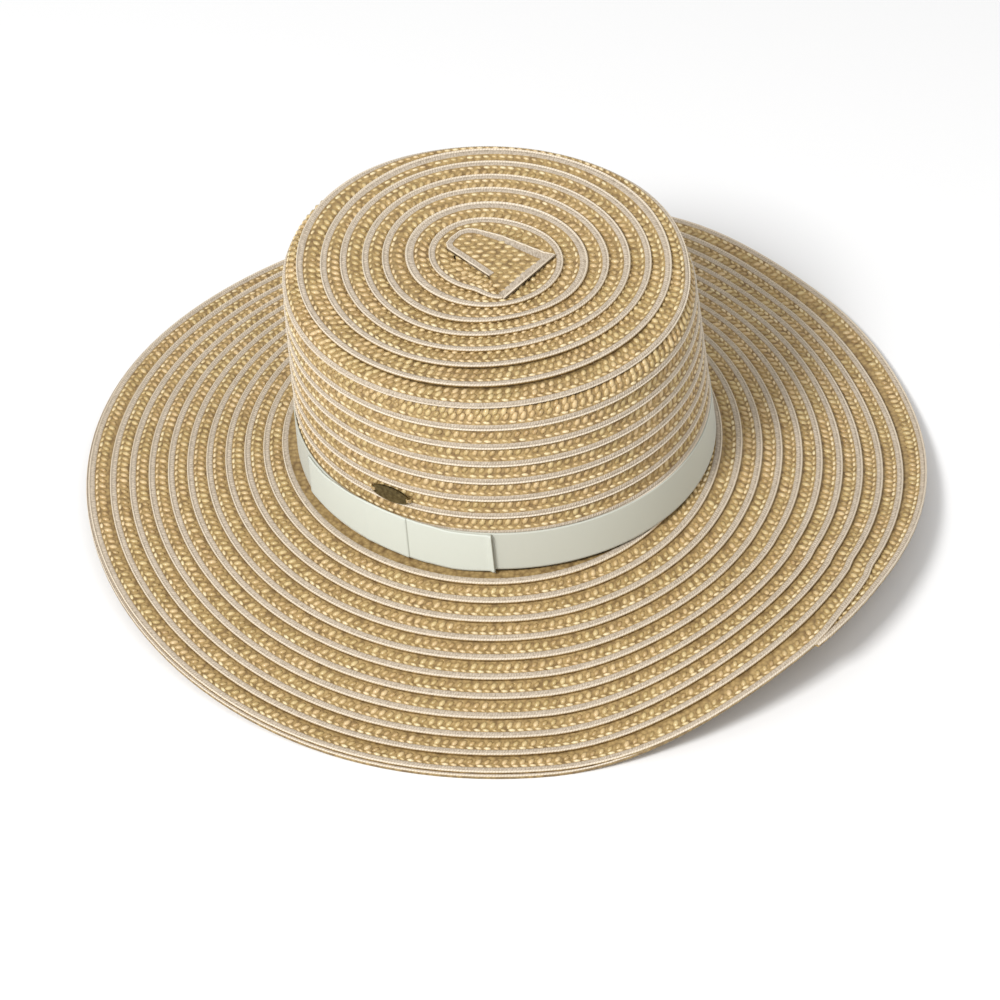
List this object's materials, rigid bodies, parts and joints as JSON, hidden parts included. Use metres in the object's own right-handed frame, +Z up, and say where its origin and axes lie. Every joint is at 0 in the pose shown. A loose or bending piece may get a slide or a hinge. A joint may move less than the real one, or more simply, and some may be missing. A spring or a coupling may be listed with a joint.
{
  "type": "boater hat",
  "caption": "Sewn straw boater with an oval flat-topped crown, wide softly waved brim, flat ribbon with a folded tab and a small oval plate.",
  "frame": {"origin": "middle of the hat's outline, on the surface that the brim rests on", "axes": "+Z up through the crown's tip, -Y towards the viewer, +X to the viewer's right"},
  "size_m": [0.387, 0.3862, 0.1201],
  "materials": {
    "crown_braid": "natural straw braid",
    "start_braid": "natural straw braid",
    "brim_braid": "natural straw braid",
    "edge_braid": "natural straw braid",
    "ribbon_cloth": "matt ribbon",
    "tab_cloth": "matt ribbon",
    "aged_brass": "antiqued dark brass"
  },
  "bodies": {
    "root": {"crown": "crown_braid", "start_fold": "start_braid", "brim": "brim_braid", "brim_edge": "edge_braid", "ribbon_band": "ribbon_cloth", "ribbon_tab": "tab_cloth", "badge_plate": "aged_brass"}
  },
  "joints": []
}
